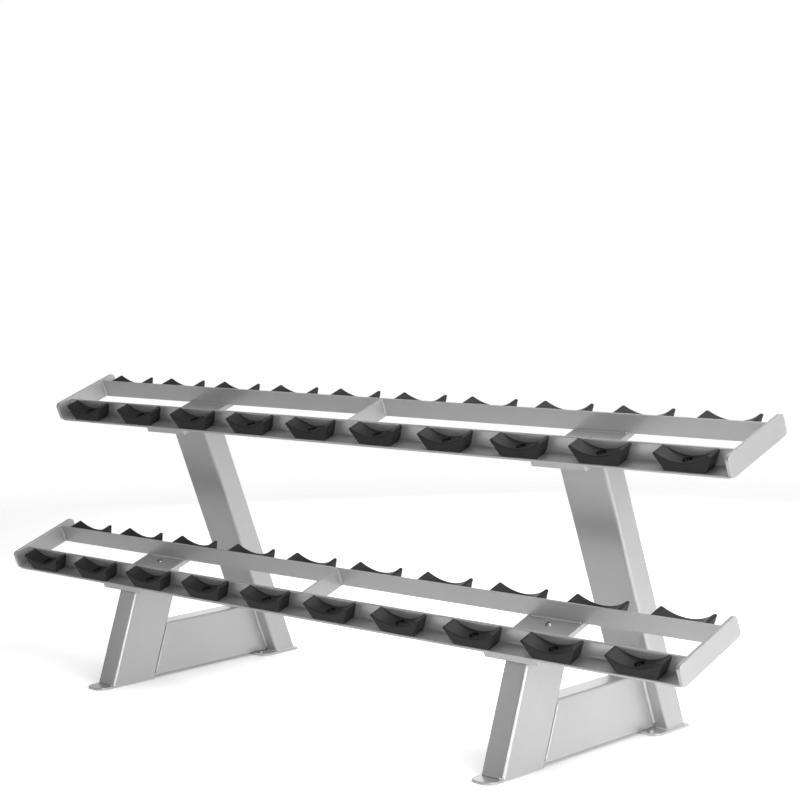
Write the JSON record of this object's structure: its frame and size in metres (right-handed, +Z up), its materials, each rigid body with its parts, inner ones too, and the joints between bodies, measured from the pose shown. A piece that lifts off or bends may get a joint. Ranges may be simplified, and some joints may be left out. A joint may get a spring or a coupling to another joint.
{
  "type": "dumbbell rack",
  "caption": "Two-tier sloped dumbbell rack of silver steel, with leaning box-section side frames, angle rails and dark moulded cradle saddles.",
  "frame": {"origin": "on the floor, at the middle of the rack's footprint and length", "axes": "+X along the rack's length, towards the right-hand end as seen by someone taking a dumbbell; +Y towards the back, the higher side of the shelves; +Z up"},
  "size_m": [2.4, 0.716, 0.8263],
  "materials": {
    "frame_paint": "silver powder coat, satin",
    "saddle_plastic": "fine-grained charcoal moulding",
    "black_fasteners": "black oxide steel",
    "zinc_fasteners": "bright zinc plate"
  },
  "bodies": {
    "root": {"left_front_leg": "frame_paint", "left_rear_leg": "frame_paint", "left_side_beam": "frame_paint", "left_front_foot_plate": "frame_paint", "left_rear_foot_plate": "frame_paint", "right_front_leg": "frame_paint", "right_rear_leg": "frame_paint", "right_side_beam": "frame_paint", "right_front_foot_plate": "frame_paint", "right_rear_foot_plate": "frame_paint", "lower_front_rail": "frame_paint", "lower_rear_rail": "frame_paint", "lower_left_end_plate": "frame_paint", "lower_right_end_plate": "frame_paint", "lower_centre_brace": "frame_paint", "lower_left_shelf_seat_plate": "frame_paint", "lower_left_leg_cap_plate": "frame_paint", "lower_right_shelf_seat_plate": "frame_paint", "lower_right_leg_cap_plate": "frame_paint", "lower_saddle_pair_01": "saddle_plastic", "lower_saddle_pair_02": "saddle_plastic", "lower_saddle_pair_03": "saddle_plastic", "lower_saddle_pair_04": "saddle_plastic", "lower_saddle_pair_05": "saddle_plastic", "lower_saddle_pair_06": "saddle_plastic", "lower_saddle_pair_07": "saddle_plastic", "lower_saddle_pair_08": "saddle_plastic", "lower_saddle_pair_09": "saddle_plastic", "lower_saddle_pair_10": "saddle_plastic", "lower_saddle_screws": "black_fasteners", "lower_saddle_washers": "black_fasteners", "lower_saddle_nuts": "zinc_fasteners", "upper_front_rail": "frame_paint", "upper_rear_rail": "frame_paint", "upper_left_end_plate": "frame_paint", "upper_right_end_plate": "frame_paint", "upper_centre_brace": "frame_paint", "upper_left_shelf_seat_plate": "frame_paint", "upper_left_leg_cap_plate": "frame_paint", "upper_right_shelf_seat_plate": "frame_paint", "upper_right_leg_cap_plate": "frame_paint", "upper_saddle_pair_01": "saddle_plastic", "upper_saddle_pair_02": "saddle_plastic", "upper_saddle_pair_03": "saddle_plastic", "upper_saddle_pair_04": "saddle_plastic", "upper_saddle_pair_05": "saddle_plastic", "upper_saddle_pair_06": "saddle_plastic", "upper_saddle_pair_07": "saddle_plastic", "upper_saddle_pair_08": "saddle_plastic", "upper_saddle_pair_09": "saddle_plastic", "upper_saddle_pair_10": "saddle_plastic", "upper_saddle_screws": "black_fasteners", "upper_saddle_washers": "black_fasteners", "upper_saddle_nuts": "zinc_fasteners", "shelf_bolts": "zinc_fasteners", "shelf_bolt_nuts": "zinc_fasteners", "levelling_bolts": "zinc_fasteners"}
  },
  "joints": []
}
